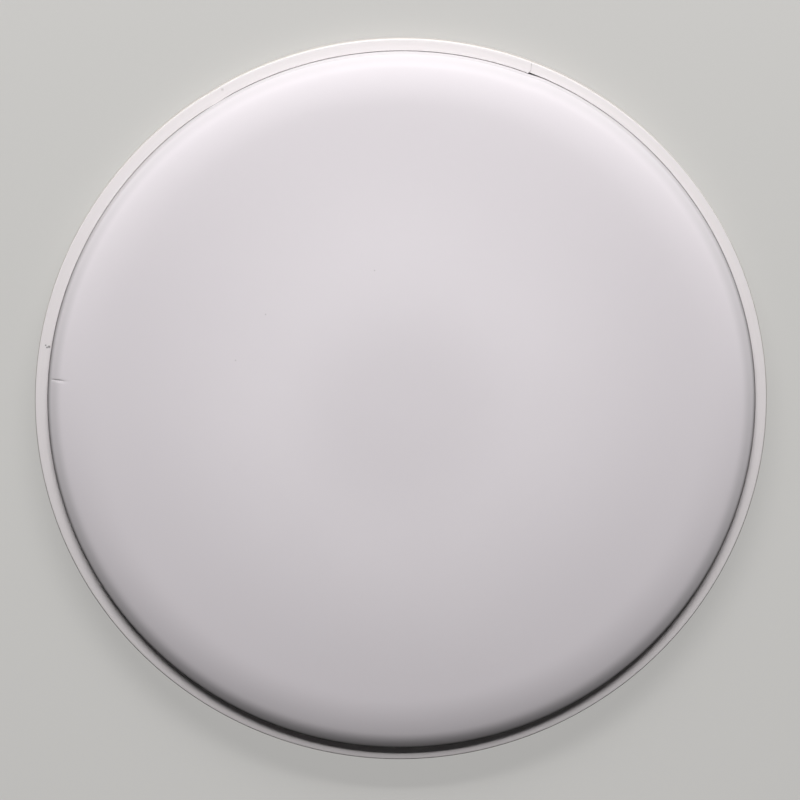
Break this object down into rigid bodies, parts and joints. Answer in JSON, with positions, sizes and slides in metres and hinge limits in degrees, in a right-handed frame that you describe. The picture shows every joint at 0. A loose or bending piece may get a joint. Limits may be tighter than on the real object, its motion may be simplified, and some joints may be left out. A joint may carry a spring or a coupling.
{
  "type": "drum head",
  "caption": "Round drum head: white moulded film with a raised collar, its hem locked in a rolled aluminium channel hoop that slips over a drum shell.",
  "frame": {"origin": "centre of the hoop, on the plane that its underside rests on", "axes": "+Z along the drum's axis, out of the playing face; +X and +Y are the picture's right and up, with the hoop's seam at 69 degrees from +X towards +Y"},
  "size_m": [0.3714, 0.3714, 0.0147],
  "materials": {
    "hoop_aluminium": "mill finish, satin",
    "white_film": "satin white polyester film",
    "wire_steel": "drawn wire",
    "cured_resin": "cured casting resin"
  },
  "bodies": {
    "root": {"channel_hoop": "hoop_aluminium", "film": "white_film", "lock_wire": "wire_steel", "adhesive_bead": "cured_resin"}
  },
  "joints": []
}
